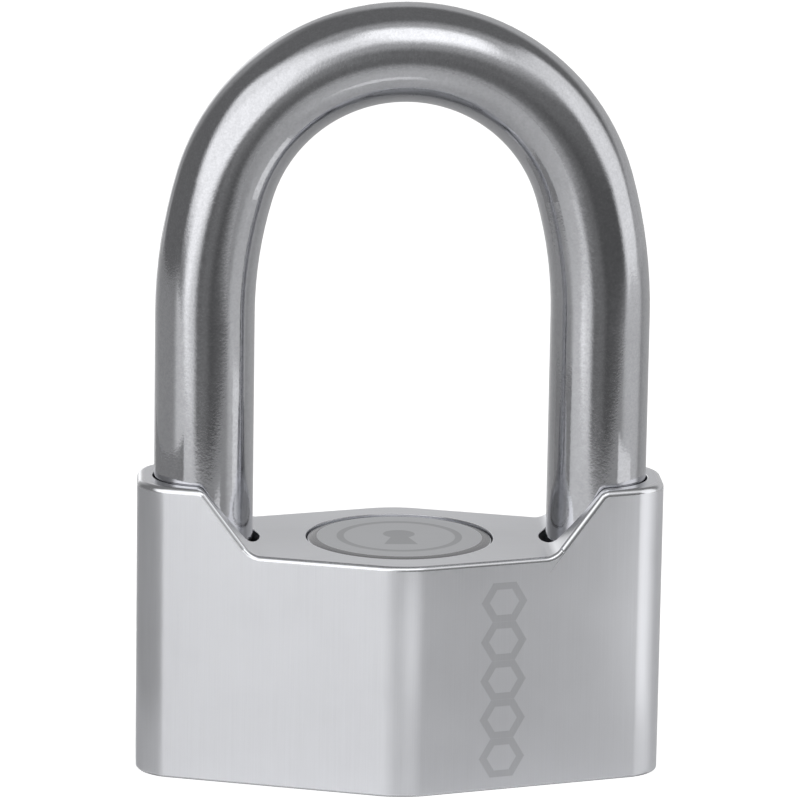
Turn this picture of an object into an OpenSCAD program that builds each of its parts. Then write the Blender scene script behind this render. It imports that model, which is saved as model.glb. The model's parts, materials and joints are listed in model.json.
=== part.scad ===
// Heavy-duty U-shackle padlock with a disc-detainer cylinder and two locking balls.
// Frame: origin on the flat underside at the middle of the body, X along the line of the two legs,
// -Y towards the front, +Z up. Drawn closed, with the cylinder turned to its open position.

/* [Body] */
// Length of the body along the line of the two legs
body_length = 85; // [84:0.5:88]
// Thickness of the body at its front and back ridges
body_thickness = 41; // [40:0.5:44]
// Angle by which each broad face falls back from the ridge, in degrees
face_angle = 17.5; // [16:0.5:18]
// Radius that blends the two broad faces into the ridge
ridge_radius = 13; // [8:0.5:16]
// Radius of the four upright corners at the ends
corner_radius = 7; // [5:0.5:8]
// Height of the deck between the legs
deck_height = 38; // [38:0.5:42]
// Height of the shoulders around the legs
shoulder_height = 48.2; // [46:0.1:52]
// Half the width of the notch between the shoulders, at the top
notch_half_width = 32.2; // [31:0.1:33]
// Slope of the notch sides, in degrees from level
notch_slope = 52; // [48:1:56]
// Radius where a notch side meets the deck
deck_fillet = 3; // [1:0.5:4]
// Radius where a notch side meets the shoulder
shoulder_round = 2; // [0.5:0.5:3]

/* [Shackle] */
// Diameter of the round bar
bar_diameter = 16; // [15.5:0.1:16.2]
// Distance between the axes of the two legs
leg_spacing = 63.6; // [63:0.1:64.2]
// Height of the bar's centre line at the top of the bow
bow_height = 117.4; // [100:0.1:140]
// Radius of the bar's centre line over the top of the bow
bow_radius = 30; // [29:0.1:30.5]
// Radius of the bar's centre line down each side of the bow
side_radius = 75; // [60:1:90]
// Height of the leg ends above the underside
leg_end_height = 16.5; // [15.5:0.1:17]
// Chamfer on the leg ends
leg_chamfer = 1.2; // [0.5:0.1:2]

/* [Leg bores] */
// Distance between the axes of the two leg bores
bore_spacing = 62.8; // [62.4:0.1:63.2]
// Diameter of a leg bore
bore_diameter = 17.3; // [17.2:0.05:17.4]
// Height of the bottom of the leg bores
bore_floor = 13.5; // [10:0.5:14.5]

/* [Locking balls] */
// Diameter of a ball
ball_diameter = 12.7; // [12.5:0.05:12.75]
// Height of the balls' centres
ball_height = 26.9; // [26.9:0.1:27.2]
// Distance of a ball's centre from the middle when locked
ball_out = 20.85; // [20.6:0.05:20.9]
// How far a ball moves between open and locked
ball_travel = 4; // [3.8:0.1:4]
// Gap between a ball and the faces it slides on
ball_gap = 0.06; // [0.04:0.01:0.1]

/* [Cylinder] */
// Diameter of the central bore
chamber_diameter = 29.1; // [29:0.1:29.2]
// Thickness of the lip that the cylinder stands on
lip_thickness = 2.2; // [2:0.1:2.5]
// Diameter of the drum
drum_diameter = 20.5; // [20.4:0.1:20.6]
// Diameter of the coded discs
disc_diameter = 17.6; // [17.4:0.1:17.6]
// Thickness of a coded disc
disc_thickness = 1.35; // [1.2:0.05:1.35]
// Thickness of a spacer washer
spacer_thickness = 0.38; // [0.3:0.01:0.38]
// Radius of the key's half-round slot
keyway_radius = 3.6; // [3:0.1:4]
// Radial clearance of a running fit
running_gap = 0.05; // [0.02:0.01:0.08]

/* [Cap] */
// Diameter of the cap in the deck
cap_diameter = 29.84; // [29.6:0.02:30]
// Diameter of its seat
cap_seat_diameter = 30.4; // [30.3:0.05:30.6]
// Height of the cap's underside
cap_underside = 33.7; // [33.6:0.05:33.8]
// Width of the cap's bevelled rim
cap_bevel_width = 1.5; // [0.5:0.1:3]
// Fall of the cap's bevelled rim
cap_bevel_fall = 0.35; // [0.2:0.05:0.5]

/* [Hidden] */
$fn = 72;
far = 200;
clear = 0.02;
// How far a straight side stands inside the round at its end, so that the two cross cleanly
blend = 0.01;

// Body plan: the broad face line is y = face_apex - x * tan(face_angle)
half_length = body_length / 2;
half_thickness = body_thickness / 2;
ridge_centre_y = half_thickness - ridge_radius;
face_apex = ridge_centre_y + ridge_radius / cos(face_angle);
corner_x = half_length - corner_radius;
corner_y = face_apex - corner_x * tan(face_angle) - corner_radius / cos(face_angle);

// Notch between the shoulders
notch_run = (shoulder_height - deck_height) / tan(notch_slope);
deck_half_width = notch_half_width - notch_run;
fillet_reach = tan(notch_slope / 2);

// Shackle: a bow arc, a wider arc down each side, then a straight leg
bar_radius = bar_diameter / 2;
leg_x = leg_spacing / 2;
bow_centre_z = bow_height - bow_radius;
side_centre_x = leg_x - side_radius;
// Direction, across and up, from the middle of the bow to where its side arc starts
bow_side_x = (side_radius - leg_x) / (side_radius - bow_radius);
bow_side = [bow_side_x, sqrt(1 - bow_side_x * bow_side_x)];
leg_top_z = bow_centre_z - (side_radius - bow_radius) * bow_side[1];

// Leg bores and balls
bore_x = bore_spacing / 2;
bore_radius = bore_diameter / 2;
ball_radius = ball_diameter / 2;
ball_in = ball_out - ball_travel;
channel_end = 27;
notch_gap = 0.25;
turn_angle = 90;

// Cylinder stack, from the underside up
chamber_radius = chamber_diameter / 2;
drum_radius = drum_diameter / 2;
drum_bore_radius = disc_diameter / 2 + 0.1;
lip_radius = drum_bore_radius + 0.25;
housing_radius = chamber_radius - running_gap;
housing_bore_radius = drum_radius + running_gap;
housing_top = 19.4;
drum_bottom = lip_thickness + running_gap;
drum_back_wall = 1.5;
disc_space_top = housing_top - drum_back_wall;
face_bottom = 0.4;
face_top = 3.9;
anti_drill_thickness = 1.45;
first_disc_z = face_top + anti_drill_thickness + 2 * clear;
disc_count = 7;
disc_pitch = disc_thickness + spacer_thickness + 2 * clear;
// Turn of each disc's key slot when its gate is in line, in steps
key_code = [2, 5, 1, 4, 0, 3, 5];
code_step = 15;
// Directions of the three shallow false gates on each disc, from the true gate
false_gates = [100, 160, 230];

// Sidebar, in line with the true gates
sidebar_width = 1.8;
sidebar_slot = sidebar_width + 2 * running_gap;
sidebar_inner = 7.98;
sidebar_outer = drum_radius - running_gap;
gate_depth = 0.9;
false_gate_depth = 0.35;
sidebar_direction = -90;
sidebar_groove_depth = 1;

// Drum tongue that drives the cam
tongue_length = 12;
tongue_width = 4;
tongue_height = 2.6;

// Cam
cam_radius = chamber_radius - 2 * running_gap;
cam_bottom = housing_top + running_gap;
cam_top = 32.6;
cam_step = 2;
lug_inner = 11;
lug_outer = 12.8;
lug_depth = 1.3;
lug_span = 16;
lug_start = 37;
lug_free_angle = 0.5;

// Thrust washer
washer_radius = 12.5;
washer_bore = 5;
washer_bottom = cam_top + running_gap;
washer_top = cap_underside - running_gap;

// Dowels between the housing and the body
dowel_radius = 1.25;
dowel_top = 16;

// Cap, its seal and its snap ring
cap_radius = cap_diameter / 2;
seat_radius = cap_seat_diameter / 2;
snap_groove_bottom = 34.2;
snap_groove_height = 1;
snap_groove_radius = 15.9;
snap_cap_radius = 13.85;
snap_split = 12;
seal_groove_bottom = 35.65;
seal_groove_height = 1.4;
seal_groove_radius = 13.7;
seal_section_radius = 0.68;
seal_ring_radius = seat_radius - seal_section_radius - clear;

DISCS = [for (i = [1:disc_count]) str("disc_", i)];

module mirrored_x() {
    children();
    mirror([1, 0, 0]) children();
}

module four_ways() {
    mirrored_x() {
        children();
        mirror([0, 1, 0]) children();
    }
}

// Lozenge block of the body, with rounded ridges and corners
module body_block() {
    s = sin(face_angle);
    c = cos(face_angle);
    ridge = ridge_radius - blend;
    corner = corner_radius - blend;
    quarter = [
        [ridge * s, ridge_centre_y + ridge * c],
        [corner_x + corner * s, corner_y + corner * c],
        [corner_x + corner, corner_y]
    ];
    linear_extrude(height = shoulder_height)
        polygon(concat(
            quarter,
            [for (i = [2:-1:0]) [quarter[i][0], -quarter[i][1]]],
            [for (i = [0:2]) [-quarter[i][0], -quarter[i][1]]],
            [for (i = [2:-1:0]) [-quarter[i][0], quarter[i][1]]]
        ));
    translate([0, ridge_centre_y, 0]) cylinder(r = ridge_radius, h = shoulder_height);
    translate([0, -ridge_centre_y, 0]) cylinder(r = ridge_radius, h = shoulder_height);
    four_ways() translate([corner_x, corner_y, 0]) cylinder(r = corner_radius, h = shoulder_height);
}

// Side view of the notch between the shoulders, x across and height up
module notch_outline() {
    deck_flat = deck_half_width - deck_fillet * fillet_reach;
    top_flat = notch_half_width + shoulder_round * fillet_reach;
    slope_x = cos(notch_slope);
    slope_z = sin(notch_slope);
    deck_tangent = [
        deck_half_width + deck_fillet * fillet_reach * slope_x,
        deck_height + deck_fillet * fillet_reach * slope_z
    ];
    top_tangent = [
        notch_half_width - shoulder_round * fillet_reach * slope_x,
        shoulder_height - shoulder_round * fillet_reach * slope_z
    ];
    polygon([
        [-deck_flat, deck_height],
        [deck_flat, deck_height],
        deck_tangent,
        [notch_half_width, shoulder_height],
        [notch_half_width, shoulder_height + 5],
        [-notch_half_width, shoulder_height + 5],
        [-notch_half_width, shoulder_height],
        [-deck_tangent[0], deck_tangent[1]]
    ]);
    mirrored_x() {
        translate([deck_flat, deck_height + deck_fillet]) circle(r = deck_fillet + blend);
        difference() {
            polygon([
                top_tangent,
                [top_flat, shoulder_height],
                [top_flat, shoulder_height + 5],
                [notch_half_width - 1, shoulder_height + 5]
            ]);
            translate([top_flat, shoulder_height - shoulder_round]) circle(r = shoulder_round + blend);
        }
    }
}

module upright_cylinder(radius, bottom, top) {
    translate([0, 0, bottom]) cylinder(r = radius, h = top - bottom);
}

module upright_ring(outer, inner, bottom, top) {
    difference() {
        upright_cylinder(outer, bottom, top);
        upright_cylinder(inner, bottom - 1, top + 1);
    }
}

// Part of a ring between two directions, seen from above
module ring_sector(inner, outer, bottom, top, from, span) {
    rotate([0, 0, from])
        rotate_extrude(angle = span)
            translate([inner, bottom]) square([outer - inner, top - bottom]);
}

module dowel_places() {
    translate([0, chamber_radius, 0]) children();
    translate([0, -chamber_radius, 0]) children();
}

module body() {
    color("silver")
    difference() {
        body_block();
        rotate([90, 0, 0]) translate([0, 0, -far / 2]) linear_extrude(height = far) notch_outline();
        mirrored_x() translate([bore_x, 0, 0]) upright_cylinder(bore_radius, bore_floor, far);
        upright_cylinder(lip_radius, -1, lip_thickness + 1);
        upright_cylinder(chamber_radius, lip_thickness, cap_underside + 1);
        upright_cylinder(seat_radius, cap_underside, far);
        upright_cylinder(snap_groove_radius, snap_groove_bottom, snap_groove_bottom + snap_groove_height);
        translate([-channel_end, 0, ball_height])
            rotate([0, 90, 0])
                cylinder(r = ball_radius + ball_gap, h = 2 * channel_end);
        dowel_places() upright_cylinder(dowel_radius + clear, lip_thickness, housing_top);
    }
}

// A bend of bar in the upright plane through the legs, between two directions from its middle
module bar_arc(radius, from, to) {
    rotate([90, 0, 0])
        intersection() {
            rotate_extrude() translate([radius, 0]) circle(r = bar_radius);
            linear_extrude(height = 2 * bar_diameter, center = true)
                polygon([[0, 0], far * from, far * (from + to), far * to]);
        }
}

module shackle_leg() {
    translate([leg_x, 0, 0]) {
        upright_cylinder(bar_radius, leg_end_height + leg_chamfer, leg_top_z);
        translate([0, 0, leg_end_height])
            cylinder(r1 = bar_radius - leg_chamfer, r2 = bar_radius, h = leg_chamfer);
    }
}

module shackle() {
    color("lightgray")
    difference() {
        union() {
            mirrored_x() {
                translate([0, 0, bow_centre_z]) bar_arc(bow_radius, bow_side, [0, 1]);
                translate([side_centre_x, 0, leg_top_z]) bar_arc(side_radius, [1, 0], bow_side);
                shackle_leg();
            }
        }
        mirrored_x() translate([ball_out, 0, ball_height]) sphere(r = ball_radius + notch_gap);
    }
}

module top_cap() {
    color("gainsboro")
    difference() {
        union() {
            upright_cylinder(cap_radius, cap_underside, deck_height - cap_bevel_fall);
            translate([0, 0, deck_height - cap_bevel_fall])
                cylinder(r1 = cap_radius, r2 = cap_radius - cap_bevel_width, h = cap_bevel_fall);
        }
        upright_ring(far, snap_cap_radius, snap_groove_bottom, snap_groove_bottom + snap_groove_height);
        upright_ring(far, seal_groove_radius, seal_groove_bottom, seal_groove_bottom + seal_groove_height);
    }
}

module cap_o_ring() {
    color("dimgray")
    translate([0, 0, seal_groove_bottom + seal_groove_height / 2])
        rotate_extrude()
            translate([seal_ring_radius, 0]) circle(r = seal_section_radius);
}

module cap_snap_ring() {
    color("slategray")
    ring_sector(
        snap_cap_radius + 0.1,
        snap_groove_radius - 0.1,
        snap_groove_bottom + running_gap,
        snap_groove_bottom + snap_groove_height - running_gap,
        snap_split / 2,
        360 - snap_split
    );
}

module thrust_washer() {
    color("goldenrod")
    upright_ring(washer_radius, washer_bore, washer_bottom, washer_top);
}

module cylinder_housing() {
    color("darkgray")
    difference() {
        upright_cylinder(housing_radius, lip_thickness, housing_top);
        upright_cylinder(housing_bore_radius, 0, far);
        // groove that the sidebar springs into when locked
        rotate([0, 0, sidebar_direction + turn_angle])
            translate([0, -sidebar_slot / 2, face_top])
                cube([housing_bore_radius + sidebar_groove_depth, sidebar_slot, disc_space_top - face_top]);
        // pocket that the cam's lug turns in
        ring_sector(
            lug_inner - running_gap,
            lug_outer + running_gap,
            housing_top - lug_depth - running_gap,
            housing_top + 1,
            lug_start - lug_free_angle,
            lug_span + turn_angle + 2 * lug_free_angle
        );
        dowel_places() upright_cylinder(dowel_radius + clear, 0, far);
    }
}

module housing_dowels() {
    color("gray")
    dowel_places() upright_cylinder(dowel_radius, lip_thickness, dowel_top);
}

module radial_slot(inner, width, bottom, top) {
    translate([inner, -width / 2, bottom]) cube([far, width, top - bottom]);
}

module drum() {
    color("burlywood")
    difference() {
        union() {
            upright_cylinder(drum_radius, drum_bottom, housing_top);
            translate([-tongue_length / 2, -tongue_width / 2, disc_space_top])
                cube([tongue_length, tongue_width, housing_top + tongue_height - disc_space_top]);
        }
        upright_cylinder(drum_bore_radius, 0, disc_space_top);
        rotate([0, 0, sidebar_direction])
            radial_slot(drum_bore_radius / 2, sidebar_slot, face_top, disc_space_top);
    }
}

// Half-round slot for the key
module key_slot(bottom, top) {
    translate([0, 0, bottom])
        linear_extrude(height = top - bottom)
            intersection() {
                circle(r = keyway_radius);
                translate([-keyway_radius, -1]) square([2 * keyway_radius, keyway_radius + 1]);
            }
}

module keyway_face() {
    color("whitesmoke")
    difference() {
        upright_cylinder(drum_bore_radius - clear, face_bottom, face_top);
        key_slot(face_bottom - 1, face_top + 1);
    }
}

module anti_drill_disc() {
    color("steelblue")
    difference() {
        upright_cylinder(disc_diameter / 2, face_top + clear, face_top + clear + anti_drill_thickness);
        key_slot(face_top - 1, face_top + 3);
        rotate([0, 0, sidebar_direction])
            radial_slot(disc_diameter / 2 - gate_depth, sidebar_slot, face_top - 1, face_top + 3);
    }
}

// One coded disc; the turn of its key slot is its code
module detainer_disc(i) {
    bottom = first_disc_z + i * disc_pitch;
    top = bottom + disc_thickness;
    color(i % 2 == 0 ? "peru" : "khaki")
    difference() {
        upright_cylinder(disc_diameter / 2, bottom, top);
        rotate([0, 0, key_code[i] * code_step]) key_slot(bottom - 1, top + 1);
        rotate([0, 0, sidebar_direction]) {
            radial_slot(disc_diameter / 2 - gate_depth, sidebar_slot, bottom - 1, top + 1);
            for (angle = false_gates)
                rotate([0, 0, angle + key_code[i] * 3])
                    radial_slot(disc_diameter / 2 - false_gate_depth, sidebar_slot, bottom - 1, top + 1);
        }
    }
}

module disc_spacers() {
    color("lightsteelblue")
    for (i = [0:disc_count - 1]) {
        bottom = first_disc_z + i * disc_pitch + disc_thickness + clear;
        difference() {
            upright_ring(disc_diameter / 2, keyway_radius + 1, bottom, bottom + spacer_thickness);
            rotate([0, 0, sidebar_direction])
                radial_slot(disc_diameter / 2 - gate_depth, sidebar_slot, bottom - 1, bottom + 1);
        }
    }
}

module sidebar() {
    color("firebrick")
    rotate([0, 0, sidebar_direction])
        translate([sidebar_inner, -sidebar_width / 2, face_top + 2 * clear])
            cube([sidebar_outer - sidebar_inner, sidebar_width, disc_space_top - face_top - 4 * clear]);
}

// Distance from the axis to a ball's near side, seen in a direction turned away from the ball's own
function near_side(reach, away) =
    abs(reach * sin(away)) < ball_radius + ball_gap && cos(away) > 0
        ? reach * cos(away) - sqrt(pow(ball_radius + ball_gap, 2) - pow(reach * sin(away), 2))
        : far;

// Cam radius in one direction: whatever the ball leaves free over the whole turn. The directions
// on either side count too, so that the straight lines between the points stay clear of the ball.
function cam_reach(direction) =
    min([
        for (turn = [0:cam_step:turn_angle], aside = [-cam_step, 0, cam_step])
            near_side(ball_in + ball_travel * turn / turn_angle, direction + turn + aside)
    ]);

function pocket_point(direction) =
    min(cam_radius + 1, cam_reach(direction)) * [cos(direction), sin(direction)];

function half_turn(point) = [-point[0], -point[1]];

module cam() {
    half = [for (direction = [-130:cam_step:50 - cam_step]) pocket_point(direction)];
    color("rosybrown")
    difference() {
        union() {
            intersection() {
                upright_cylinder(cam_radius, cam_bottom, cam_top);
                translate([0, 0, cam_bottom])
                    linear_extrude(height = cam_top - cam_bottom)
                        polygon(concat(half, [for (point = half) half_turn(point)]));
            }
            ring_sector(
                lug_inner, lug_outer, housing_top - lug_depth, cam_bottom + 1, lug_start, lug_span
            );
        }
        translate([-tongue_length / 2, -tongue_width / 2, cam_bottom - 1] - [0.1, 0.1, 0])
            cube([tongue_length + 0.2, tongue_width + 0.2, tongue_height + 1.2]);
    }
}

module ball(side) {
    color("gainsboro")
    translate([side * ball_in, 0, ball_height]) sphere(r = ball_radius);
}

module ball_left() {
    ball(-1);
}

module ball_right() {
    ball(1);
}

body();
shackle();
top_cap();
cap_o_ring();
cap_snap_ring();
thrust_washer();
cylinder_housing();
housing_dowels();
drum();
keyway_face();
anti_drill_disc();
for (i = [0:disc_count - 1]) detainer_disc(i);
disc_spacers();
sidebar();
cam();
ball_left();
ball_right();
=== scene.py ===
"""Looks of the heavy stainless padlock: finishes, small edge breaks, studio light, floor and camera.

Everything is in metres, in the part's own frame: +X from the left leg to the right leg, -Y out of the front
ridge, +Z up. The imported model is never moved. Two of its nodes, the body and its cap, are shown through copies with
rounded breaks on their sharp edges.
"""

import json
import math

import bmesh
import bpy
from mathutils import Matrix, Vector


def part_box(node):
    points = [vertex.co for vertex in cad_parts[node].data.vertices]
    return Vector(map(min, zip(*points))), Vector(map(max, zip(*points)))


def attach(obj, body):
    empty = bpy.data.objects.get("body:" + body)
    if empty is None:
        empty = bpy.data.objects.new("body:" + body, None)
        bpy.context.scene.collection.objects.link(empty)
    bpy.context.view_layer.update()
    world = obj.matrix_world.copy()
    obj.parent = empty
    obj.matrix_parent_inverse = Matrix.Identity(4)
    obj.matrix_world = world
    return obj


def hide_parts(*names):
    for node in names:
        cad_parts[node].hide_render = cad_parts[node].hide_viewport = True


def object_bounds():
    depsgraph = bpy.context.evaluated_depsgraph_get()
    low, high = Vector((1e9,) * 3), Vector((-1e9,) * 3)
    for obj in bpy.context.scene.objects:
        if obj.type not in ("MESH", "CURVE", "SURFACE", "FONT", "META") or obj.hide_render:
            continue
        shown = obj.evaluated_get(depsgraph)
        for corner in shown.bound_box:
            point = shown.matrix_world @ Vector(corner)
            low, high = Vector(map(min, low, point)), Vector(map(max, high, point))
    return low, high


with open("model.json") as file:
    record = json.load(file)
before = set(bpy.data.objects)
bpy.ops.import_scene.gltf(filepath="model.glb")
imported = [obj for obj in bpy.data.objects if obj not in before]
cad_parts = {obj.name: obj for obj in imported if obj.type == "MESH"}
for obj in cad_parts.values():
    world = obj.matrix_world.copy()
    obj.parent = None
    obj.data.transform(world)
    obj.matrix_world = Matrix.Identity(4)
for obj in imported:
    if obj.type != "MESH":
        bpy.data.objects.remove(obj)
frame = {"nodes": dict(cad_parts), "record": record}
cad_low, cad_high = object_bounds()
nodes = frame["nodes"]
scene = bpy.context.scene
scene.view_settings.view_transform = "Standard"
MM = 0.001


# ---------------------------------------------------------------- node graphs
class Graph:
    """A node tree, with short calls that add a node and wire its inputs."""

    def __init__(self, tree):
        self.tree = tree
        tree.nodes.clear()

    def add(self, kind, inputs=None, **settings):
        made = self.tree.nodes.new(kind)
        for key, value in settings.items():
            setattr(made, key, value)
        for key, value in (inputs or {}).items():
            self.wire(value, made.inputs[key])
        return made

    def wire(self, value, socket):
        if isinstance(value, bpy.types.NodeSocket):
            self.tree.links.new(value, socket)
        else:
            socket.default_value = value

    def math(self, operation, *values, clamp=False):
        made = self.add("ShaderNodeMath", operation=operation, use_clamp=clamp)
        for index, value in enumerate(values):
            self.wire(value, made.inputs[index])
        return made.outputs[0]

    def smooth(self, value, low, high, out_low=0.0, out_high=1.0):
        made = self.add("ShaderNodeMapRange", interpolation_type="SMOOTHSTEP")
        for index, item in enumerate((value, low, high, out_low, out_high)):
            self.wire(item, made.inputs[index])
        return made.outputs[0]

    def mix(self, factor, a, b):
        made = self.add("ShaderNodeMix", data_type="FLOAT")
        self.wire(factor, made.inputs[0])
        self.wire(a, made.inputs[2])
        self.wire(b, made.inputs[3])
        return made.outputs[0]

    def noise(self, coordinates, scale, detail=2.0, rough=0.5, offset=(0, 0, 0), stretch=(1, 1, 1)):
        moved = self.add(
            "ShaderNodeMapping",
            {"Vector": coordinates, "Location": offset, "Scale": stretch},
        )
        made = self.add(
            "ShaderNodeTexNoise",
            {"Vector": moved.outputs[0], "Scale": scale, "Detail": detail, "Roughness": rough},
        )
        return made.outputs["Fac"]

    def split(self, vector):
        return self.add("ShaderNodeSeparateXYZ", {0: vector}).outputs

    def radius(self, x, y):
        return self.math("SQRT", self.math("MULTIPLY_ADD", x, x, self.math("MULTIPLY", y, y)))


# ---------------------------------------------------------------- finishes
CLOUD_SCALE = 90  # the broad, faint unevenness that every metal has
CLOUD_TONE = 0.10
MARK_TONE = -0.20  # how an etched mark changes the colour
MARK_ROUGH = 0.04  # and the roughness


def metal(name, color, rough, swing, grain, bump, aniso=0.0, marks=None, speckle=0.10):
    """A bare metal. grain is a function that gives the fine pattern, 0 to 1, from the graph and coordinates.

    swing is how far the grain moves the roughness, speckle how far it moves the colour, and bump its height in
    metres. marks, if given, returns an etched mask, which makes the metal duller and rougher.
    """
    made = bpy.data.materials.new(name)
    made.use_nodes = True
    g = Graph(made.node_tree)
    here = g.add("ShaderNodeTexCoord").outputs["Object"]
    fine = grain(g, here)
    cloud = g.noise(here, CLOUD_SCALE, 2.0, 0.55, offset=(3, 1, 7))
    tone = g.math("MULTIPLY_ADD", g.math("SUBTRACT", cloud, 0.5), CLOUD_TONE, 1.0)
    tone = g.math("MULTIPLY_ADD", g.math("SUBTRACT", fine, 0.5), speckle, tone)
    worn = g.math("MULTIPLY_ADD", g.math("SUBTRACT", fine, 0.5), swing, rough)
    worn = g.math("MULTIPLY_ADD", g.math("SUBTRACT", cloud, 0.5), swing * 0.6, worn)
    if marks:
        mask = marks(g, here)
        tone = g.math("MULTIPLY", tone, g.math("MULTIPLY_ADD", mask, MARK_TONE, 1.0))
        worn = g.math("MULTIPLY_ADD", mask, MARK_ROUGH, worn)
    tint = g.add("ShaderNodeMix", data_type="RGBA", blend_type="MULTIPLY")
    tint.inputs[0].default_value = 1.0
    tint.inputs[6].default_value = (*color, 1.0)
    grey = g.add("ShaderNodeCombineColor", {0: tone, 1: tone, 2: tone})
    g.wire(grey.outputs[0], tint.inputs[7])
    shader = g.add(
        "ShaderNodeBsdfPrincipled",
        {"Base Color": tint.outputs[2], "Metallic": 1.0, "Roughness": worn},
    )
    if bump:
        relief = g.add("ShaderNodeBump", {"Height": fine, "Strength": 1.0, "Distance": bump})
        g.wire(relief.outputs[0], shader.inputs["Normal"])
    if aniso:
        turn = g.add("ShaderNodeTangent", direction_type="RADIAL", axis="Z")
        shader.inputs["Anisotropic"].default_value = aniso
        g.wire(turn.outputs[0], shader.inputs["Tangent"])
    g.add("ShaderNodeOutputMaterial", {"Surface": shader.outputs[0]})
    return made


BRUSH_SCALE = 5200
BRUSH_STRETCH = 0.012  # how much coarser the lines are along their length


def upright_brush(g, here):
    """Long fine lines: upright on the walls, along X on the level faces."""
    facing = g.split(g.add("ShaderNodeNewGeometry").outputs["Normal"])[2]
    level = g.smooth(g.math("ABSOLUTE", facing), 0.6, 0.8)
    walls = g.noise(here, BRUSH_SCALE, 3.0, 0.6, stretch=(1, 1, BRUSH_STRETCH))
    tops = g.noise(here, BRUSH_SCALE, 3.0, 0.6, stretch=(BRUSH_STRETCH, 1, 1))
    return g.mix(level, walls, tops)


def mottle(g, here):
    """A fine pebbled grain, as on drawn and tumbled bar."""
    small = g.noise(here, 2600, 3.0, 0.6)
    wide = g.noise(here, 900, 2.0, 0.6, offset=(5, 2, 1))
    return g.mix(0.35, small, wide)


def turned(g, here):
    """Fine turned rings round the lock's own axis."""
    x, y, z = g.split(here)
    rings = g.add("ShaderNodeCombineXYZ", {0: g.radius(x, y), 1: 0.0, 2: z})
    return g.noise(rings.outputs[0], 6000, 2.0, 0.6)


def ground(g, here):
    """Short crossing grinding marks."""
    one = g.noise(here, 4200, 2.0, 0.6, stretch=(1, 0.06, 1))
    two = g.noise(here, 4200, 2.0, 0.6, offset=(9, 4, 2), stretch=(0.06, 1, 1))
    return g.mix(0.5, one, two)


def rubber(name, color):
    made = bpy.data.materials.new(name)
    made.use_nodes = True
    g = Graph(made.node_tree)
    here = g.add("ShaderNodeTexCoord").outputs["Object"]
    skin = g.noise(here, 2600, 3.0, 0.6)
    rough = g.math("MULTIPLY_ADD", skin, 0.2, 0.5)
    relief = g.add("ShaderNodeBump", {"Height": skin, "Strength": 0.5, "Distance": 0.00001})
    shader = g.add(
        "ShaderNodeBsdfPrincipled",
        {"Base Color": (*color, 1.0), "Roughness": rough, "Normal": relief.outputs[0]},
    )
    g.add("ShaderNodeOutputMaterial", {"Surface": shader.outputs[0]})
    return made


# ---------------------------------------------------------------- etched marks
ROW_X = 16.1 * MM  # middle of the row on the right front face
ROW_LOW = 2.2 * MM  # its lower end
ROW_PITCH = 6.45 * MM
ROW_COUNT = 5
HEX_HALF = 2.664 * MM  # from the middle of a hexagon to the middle of its line, across the flats
HEX_LINE = (0.48 * MM, 0.66 * MM)  # the line fades out between these distances from its middle
FACE_AT = -21.13 * MM  # the right front face is y = FACE_AT + FACE_SLOPE * x
FACE_SLOPE = 0.3153
FACE_DEPTH = 0.3 * MM  # how far from that plane the row may still be drawn
CAP_RING = 9.6 * MM  # radius of the ring on the cap
KEYHOLE_EYE = 1.6 * MM  # middle of the keyhole's round head, along Y
KEYHOLE_HEAD = 2.5 * MM  # its radius
KEYHOLE_FOOT = -5.2 * MM  # lower edge of its skirt, along Y
KEYHOLE_WAIST = 1.2 * MM  # half the skirt's width at the middle of the cap
KEYHOLE_FLARE = -0.28  # how the half width changes along Y
SOFT_EDGE = 0.15 * MM


def hexagon_row(g, here):
    """A plain upright row of outlined hexagons on the right front face."""
    x, y, z = g.split(here)
    off = g.math("SUBTRACT", y, g.math("MULTIPLY_ADD", x, FACE_SLOPE, FACE_AT))
    near = g.math("LESS_THAN", g.math("ABSOLUTE", off), FACE_DEPTH)
    up = g.math("SUBTRACT", z, ROW_LOW)
    inside = g.math("MULTIPLY", g.math("GREATER_THAN", up, 0.0),
                    g.math("LESS_THAN", up, ROW_PITCH * ROW_COUNT))
    cell = g.math("SUBTRACT", g.math("WRAP", up, ROW_PITCH, 0.0), ROW_PITCH / 2)
    across = g.math("ABSOLUTE", g.math("SUBTRACT", x, ROW_X))
    along = g.math("ABSOLUTE", cell)
    slant = g.math("MULTIPLY_ADD", across, math.cos(math.radians(30)), g.math("MULTIPLY", along, 0.5))
    reach = g.math("MAXIMUM", slant, along)
    line = g.math("ABSOLUTE", g.math("SUBTRACT", reach, HEX_HALF))
    drawn = g.smooth(line, *HEX_LINE, 1.0, 0.0)
    return g.math("MULTIPLY", g.math("MULTIPLY", near, inside), drawn)


def cap_mark(g, here):
    """An etched ring round a plain keyhole shape, on the top of the cap."""
    x, y, z = g.split(here)
    facing = g.split(g.add("ShaderNodeNewGeometry").outputs["Normal"])[2]
    top = g.math("GREATER_THAN", facing, 0.9)
    off_ring = g.math("ABSOLUTE", g.math("SUBTRACT", g.radius(x, y), CAP_RING))
    ring = g.smooth(off_ring, 0.5 * MM, 0.5 * MM + SOFT_EDGE, 1.0, 0.0)
    eye = g.radius(x, g.math("SUBTRACT", y, KEYHOLE_EYE))
    head = g.smooth(eye, KEYHOLE_HEAD, KEYHOLE_HEAD + SOFT_EDGE, 1.0, 0.0)
    spread = g.math("MULTIPLY_ADD", y, KEYHOLE_FLARE, KEYHOLE_WAIST)
    skirt = g.smooth(g.math("SUBTRACT", g.math("ABSOLUTE", x), spread), 0.0, SOFT_EDGE, 1.0, 0.0)
    low = g.math("MULTIPLY", g.math("GREATER_THAN", y, KEYHOLE_FOOT), g.math("LESS_THAN", y, KEYHOLE_EYE))
    shape = g.math("MAXIMUM", ring, g.math("MAXIMUM", head, g.math("MULTIPLY", skirt, low)))
    return g.math("MULTIPLY", top, shape)


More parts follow.
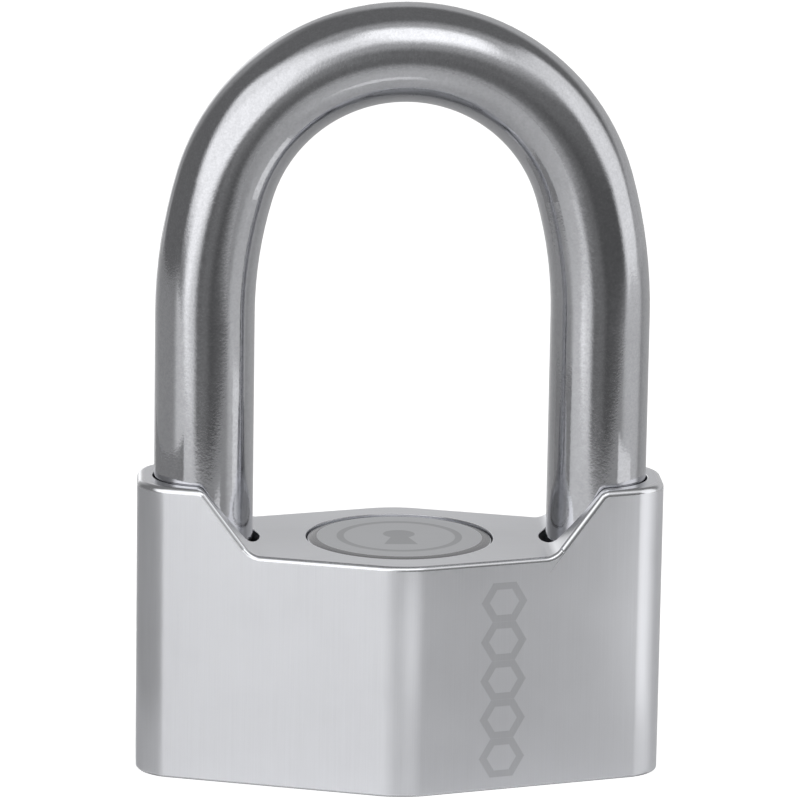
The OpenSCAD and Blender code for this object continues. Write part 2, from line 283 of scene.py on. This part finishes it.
# ---------------------------------------------------------------- pieces with broken edges
WIDEST_BREAK = 1.0 * MM  # round the shoulders
DECK_BREAK = 0.75 * MM  # along the front and back of the deck
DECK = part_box("top_cap")[1].z
SHARP = math.radians(30)
WELD = 2e-6
FLAT_WITHIN = 0.002  # faces closer in angle than this, in radians, are one flat face


def broken_edges(name, node, body, width_at, segments, rim=None):
    """A copy of a node whose flat faces are whole again and whose sharp edges have a small rounded break.

    width_at gives the width of the break from the middle of an edge. The breaks take the second material, and the
    faces that rim picks take the third.
    """
    source = nodes[node].data
    bm = bmesh.new()
    for vertex in source.vertices:
        bm.verts.new(vertex.co)
    bm.verts.ensure_lookup_table()
    for polygon in source.polygons:
        corners = [bm.verts[i] for i in polygon.vertices]
        try:
            bm.faces.new(corners)
        except ValueError:
            continue
    bmesh.ops.remove_doubles(bm, verts=bm.verts, dist=WELD)
    bmesh.ops.dissolve_limit(bm, angle_limit=FLAT_WITHIN, verts=bm.verts, edges=bm.edges)
    for face in bm.faces:
        face.smooth = True
        if rim and rim(face):
            face.material_index = 2
    share = bm.edges.layers.float.new("bevel_weight_edge")
    for edge in bm.edges:
        if len(edge.link_faces) == 2 and edge.calc_face_angle(0.0) > SHARP:
            middle = (edge.verts[0].co + edge.verts[1].co) / 2
            edge[share] = width_at(middle) / WIDEST_BREAK
    mesh = bpy.data.meshes.new(name)
    bm.to_mesh(mesh)
    bm.free()
    piece = bpy.data.objects.new(name, mesh)
    scene.collection.objects.link(piece)
    bevel = piece.modifiers.new("edge_break", "BEVEL")
    bevel.width = WIDEST_BREAK
    bevel.segments = segments
    bevel.limit_method = "WEIGHT"
    bevel.use_clamp_overlap = False
    bevel.material = 1
    bevel.miter_outer = "MITER_ARC"
    even = piece.modifiers.new("flat_faces", "WEIGHTED_NORMAL")
    even.mode = "FACE_AREA"
    even.weight = 100
    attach(piece, body)
    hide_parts(node)
    return piece


FINEST_BREAK = 0.10 * MM  # at the cap's seat and inside
BORE_BREAK = 0.25 * MM
FOOT_BREAK = 0.40 * MM  # along the bottom outline
BREAK_RISE = 4 * MM  # height above the deck at which the lip is widest
SEAT_REACH = 16 * MM  # the cap's seat lies within this distance of the middle


def body_break(middle):
    """Wide soft lips along the top outline, finer ones at the bores and underneath, the least inside."""
    depth = -FACE_AT - FACE_SLOPE * abs(middle.x) - abs(middle.y)
    outside = depth < 1.5 * MM or abs(middle.x) > cad_high.x - MM
    if middle.z > DECK - 0.2 * MM:
        if outside:
            rise = min(1.0, max(0.0, (middle.z - DECK) / BREAK_RISE))
            return DECK_BREAK + rise * (WIDEST_BREAK - DECK_BREAK)
        return FINEST_BREAK if abs(middle.x) < SEAT_REACH else BORE_BREAK
    return FOOT_BREAK if outside and middle.z < MM else FINEST_BREAK


def paint(piece, *materials):
    """Give a piece its materials. Clearing would reset the faces' slot numbers, so it is done only if needed."""
    slots = piece.data.materials
    if len(slots):
        slots.clear()
    for material in materials:
        slots.append(material)


body_finish = metal("brushed_stainless", (0.925, 0.935, 0.97), 0.32, 0.10, upright_brush, 2e-6, 0.30,
                    marks=hexagon_row)
cap_finish = metal("brushed_stainless_cap", (0.74, 0.75, 0.775), 0.36, 0.10, upright_brush, 2e-6, 0.0,
                   marks=cap_mark)
lip_finish = metal("buffed_edge", (0.88, 0.89, 0.92), 0.20, 0.06, upright_brush, 1e-6)
# painted shade: the cap's rim bevel is made dark all round, standing in for the shade of the seam round the cap
rim_shade = metal("rim_painted_shade", (0.36, 0.36, 0.375), 0.26, 0.08, turned, 2e-6)
bar_finish = metal("polished_stainless", (0.61, 0.615, 0.64), 0.085, 0.12, mottle, 1.2e-5, speckle=0.55)
hard_finish = metal("hardened_steel", (0.42, 0.42, 0.43), 0.34, 0.16, ground, 4e-6, speckle=0.40)
ball_finish = metal("bearing_steel", (0.70, 0.70, 0.71), 0.08, 0.04, mottle, 4e-7)
spring_finish = metal("spring_steel", (0.35, 0.36, 0.38), 0.32, 0.12, ground, 2e-6, speckle=0.30)
brass_finish = metal("brass", (0.76, 0.55, 0.25), 0.26, 0.12, turned, 3e-6, speckle=0.30)
seal_finish = rubber("seal_rubber", (0.025, 0.025, 0.026))

finishes = {
    "brushed_stainless": body_finish,
    "polished_stainless": bar_finish,
    "hardened_steel": hard_finish,
    "bearing_steel": ball_finish,
    "spring_steel": spring_finish,
    "brass": brass_finish,
    "seal_rubber": seal_finish,
}
for row in frame["record"]["subparts"]:
    paint(nodes[row["node"]], finishes[row["material_slot"]])

body_piece = broken_edges("body_shell", "body", "body", body_break, 5)
paint(body_piece, body_finish, lip_finish)
# the faces that rim picks, the cap's sloping rim bevel, take the dark ring of painted shade
cap_piece = broken_edges("cap_disc", "top_cap", "body", lambda middle: 0.12 * MM, 3,
                         rim=lambda face: 0.9 < face.normal.z < 0.995)
paint(cap_piece, cap_finish, lip_finish, rim_shade)


# ---------------------------------------------------------------- studio light
# Each box is seen in a direction: azimuth (0 is out of the front, positive to the right), elevation, roll, half
# width, half height and soft edge, all in degrees, then its brightness. A later box covers the ones before it.
ROOM_LEVEL = 0.175
BOXES = [
    (15, -94, 1, 74, 76, 8, 0.44),  # far floor
    (-54, -18, 4, 30, 9, 7, 0.83),  # its edge, lit from the left
    (59, -8, 12, 45, 5, 7, 1.54),  # and from the right
    (190, -4, 14, 25, 26, 8, 1.21),  # white backdrop
    (147, 8, 35, 50, 23, 9, 0.51),  # its right side
    (-148, 12, -7, 10, 25, 9, 0.37),  # its left side
    (-115, -22, -18, 36, 8, 5, 0.50),  # floor behind on the left
    (22, 59, -15, 48, 20, 9, 0.50),  # ceiling bounce
    (-108, -61, -35, 12, 40, 9, 0.20),  # the floor's dark left end
    (111, -56, 35, 11, 34, 9, 0.20),  # and right end
    (-40, 27, 8, 33, 25, 7, 1.14),  # left soft box, upper part
    (-40, 13, 31, 22, 22, 7, 1.34),  # and its brighter lower part
    (62, 20, 19, 40, 28, 7, 0.90),  # right soft box
    (75, 10, 28, 20, 24, 7, 1.04),  # and its brighter outer part
    (14, 55, -9, 19, 10, 6, 1.50),  # overhead soft box, its upper part
    (15, 38, 4, 14, 16, 5, 1.55),  # and its lower part
    (19, 16, 8, 30, 19, 8, 0.46),  # grey stand in front
    (26, 2, 11, 30, 20, 8, 0.19),  # and its dark lower part
    (35, -6, 10, 28, 9, 8, 0.11),
]


def studio():
    """A plain room of soft boxes round the lock. The camera itself sees a white backdrop."""
    world = bpy.data.worlds.new("studio")
    world.use_nodes = True
    scene.world = world
    g = Graph(world.node_tree)
    way = g.add("ShaderNodeTexCoord").outputs["Generated"]

    def along(axis):
        made = g.add("ShaderNodeVectorMath", {0: way, 1: tuple(axis)}, operation="DOT_PRODUCT")
        return made.outputs["Value"]

    def within(side, ahead, half, edge):
        angle = g.math("MULTIPLY", g.math("ARCTAN2", g.math("ABSOLUTE", side), ahead), 180 / math.pi)
        return g.smooth(angle, half - edge, half + edge, 1.0, 0.0)

    light = ROOM_LEVEL
    for azimuth, elevation, roll, half_width, half_height, edge, level in BOXES:
        a, e, r = (math.radians(v) for v in (azimuth, elevation, roll))
        normal = Vector((math.sin(a) * math.cos(e), -math.cos(a) * math.cos(e), math.sin(e)))
        level_axis = Vector((math.cos(a), math.sin(a), 0))
        rising = normal.cross(level_axis)
        if rising.z < 0:
            rising = -rising
        across = math.cos(r) * level_axis + math.sin(r) * rising
        upward = -math.sin(r) * level_axis + math.cos(r) * rising
        ahead = along(normal)
        inside = g.math(
            "MULTIPLY",
            within(along(across), ahead, half_width, edge),
            within(along(upward), ahead, half_height, edge),
        )
        light = g.mix(inside, light, level)
    seen = g.add("ShaderNodeLightPath").outputs["Is Camera Ray"]
    strength = g.mix(seen, light, 1.0)
    glow = g.add("ShaderNodeBackground", {"Color": (1.0, 1.0, 1.0, 1.0), "Strength": strength})
    g.add("ShaderNodeOutputWorld", {"Surface": glow.outputs[0]})


studio()


# ---------------------------------------------------------------- floor
FLOOR_HALF = 15
FLOOR_DROP = 0.04 * MM  # below the underside
FLOOR_WHITE = 0.80
FLOOR_GLOW = 0.72
TABLE_DROP = 0.02 * MM
TABLE_WHITE = 0.80
TABLE_FRONT = -0.22  # the table top's edges
TABLE_BACK = 0.60
TABLE_HALF = 0.80


def staged(name, corners, faces, build):
    """A staged sheet with a material of the same name. build gives its shader from the graph."""
    mesh = bpy.data.meshes.new(name)
    mesh.from_pydata(corners, [], faces)
    made = bpy.data.objects.new(name, mesh)
    scene.collection.objects.link(made)
    finish = bpy.data.materials.new(name)
    finish.use_nodes = True
    g = Graph(finish.node_tree)
    g.add("ShaderNodeOutputMaterial", {"Surface": build(g)})
    mesh.materials.append(finish)
    return made


def clear_below(g, shader):
    """The shader from above, and nothing from below, so that the underside can be looked at."""
    below = g.add("ShaderNodeNewGeometry").outputs["Backfacing"]
    clear = g.add("ShaderNodeBsdfTransparent").outputs[0]
    return g.add("ShaderNodeMixShader", {0: below, 1: shader, 2: clear}).outputs[0]


def only_in_metal(sheet):
    sheet.visible_camera = False
    sheet.visible_diffuse = False
    sheet.visible_shadow = False


def floor():
    """A large pale sheet that the lock stands on. It takes a soft contact shadow and stays out of the metal."""
    def pale(g):
        matt = g.add("ShaderNodeBsdfDiffuse", {"Color": (FLOOR_WHITE, FLOOR_WHITE, FLOOR_WHITE, 1.0)})
        glow = g.add("ShaderNodeEmission", {"Color": (1.0, 1.0, 1.0, 1.0), "Strength": FLOOR_GLOW})
        return clear_below(g, g.add("ShaderNodeAddShader", {0: matt.outputs[0], 1: glow.outputs[0]}).outputs[0])

    z = cad_low.z - FLOOR_DROP
    corners = [(a * FLOOR_HALF, b * FLOOR_HALF, z) for a, b in ((-1, -1), (1, -1), (1, 1), (-1, 1))]
    sheet = staged("floor", corners, [(0, 1, 2, 3)], pale)
    sheet.visible_glossy = False


def table_top():
    """The same floor as the metal sees it: a smooth white table of real size, left open under the lock."""
    def white(g):
        made = g.add(
            "ShaderNodeBsdfPrincipled",
            {"Base Color": (TABLE_WHITE, TABLE_WHITE, TABLE_WHITE, 1.0), "Roughness": 0.20, "IOR": 2.2},
        )
        return clear_below(g, made.outputs[0])

    end = cad_high.x + 0.2 * MM
    side = 8 * MM
    ridge = -FACE_AT
    under = [(-end, -side), (0, -ridge), (end, -side), (end, side), (0, ridge), (-end, side)]
    edge = [(x, TABLE_FRONT) for x in (-TABLE_HALF, 0, TABLE_HALF)]
    edge += [(x, TABLE_BACK) for x in (TABLE_HALF, 0, -TABLE_HALF)]
    corners = [(x, y, cad_low.z - TABLE_DROP) for x, y in edge + under]
    faces = [(i, (i + 1) % 6, 6 + (i + 1) % 6, 6 + i) for i in range(6)]
    only_in_metal(staged("table_top", corners, faces, white))


CARD_GAP = 32 * MM  # from the body's ends to the cards beside it
CARD_HEIGHT = 44 * MM
FRONT_CARD_Y = -80 * MM
FRONT_CARD_HEIGHT = 26 * MM


def card(name, start, end, height, level):
    """A low upright card on the table, from start to end, which glows evenly."""
    def glow(g):
        return g.add("ShaderNodeEmission", {"Color": (1.0, 1.0, 1.0, 1.0), "Strength": level}).outputs[0]

    z = cad_low.z
    corners = [(*start, z), (*end, z), (*end, z + height), (*start, z + height)]
    only_in_metal(staged(name, corners, [(0, 1, 2, 3)], glow))


floor()
table_top()
left = cad_low.x - CARD_GAP
right = cad_high.x + CARD_GAP
card("grey_card", (left, -42 * MM), (left, 60 * MM), CARD_HEIGHT, 0.28)
card("white_card", (right, -46 * MM), (right, -12 * MM), CARD_HEIGHT, 0.92)
card("front_card", (3 * MM, FRONT_CARD_Y), (27 * MM, FRONT_CARD_Y), FRONT_CARD_HEIGHT, 0.85)


# ---------------------------------------------------------------- camera
CAMERA_ANGLES = (-3.21, 12.59, 0.92)  # azimuth, elevation and roll, in degrees
CAMERA_AIM = Vector((-0.000246, 0.0, 0.060635))
CAMERA_DISTANCE = 0.899
LENS = 250.9  # mm, on a 36 mm sensor


def camera():
    azimuth, elevation, roll = (math.radians(v) for v in CAMERA_ANGLES)
    back = Vector((
        math.sin(azimuth) * math.cos(elevation),
        -math.cos(azimuth) * math.cos(elevation),
        math.sin(elevation),
    ))
    right = Vector((0, 0, 1)).cross(back).normalized()
    up = back.cross(right)
    turned_right = math.cos(roll) * right + math.sin(roll) * up
    turned_up = -math.sin(roll) * right + math.cos(roll) * up
    place = Matrix((turned_right, turned_up, back)).transposed().to_4x4()
    place.translation = CAMERA_AIM + back * CAMERA_DISTANCE
    data = bpy.data.cameras.new("camera")
    data.sensor_width = 36.0
    data.lens = LENS
    data.clip_start = 0.01
    data.clip_end = 100.0
    made = bpy.data.objects.new("camera", data)
    scene.collection.objects.link(made)
    made.matrix_world = place
    scene.camera = made


camera()
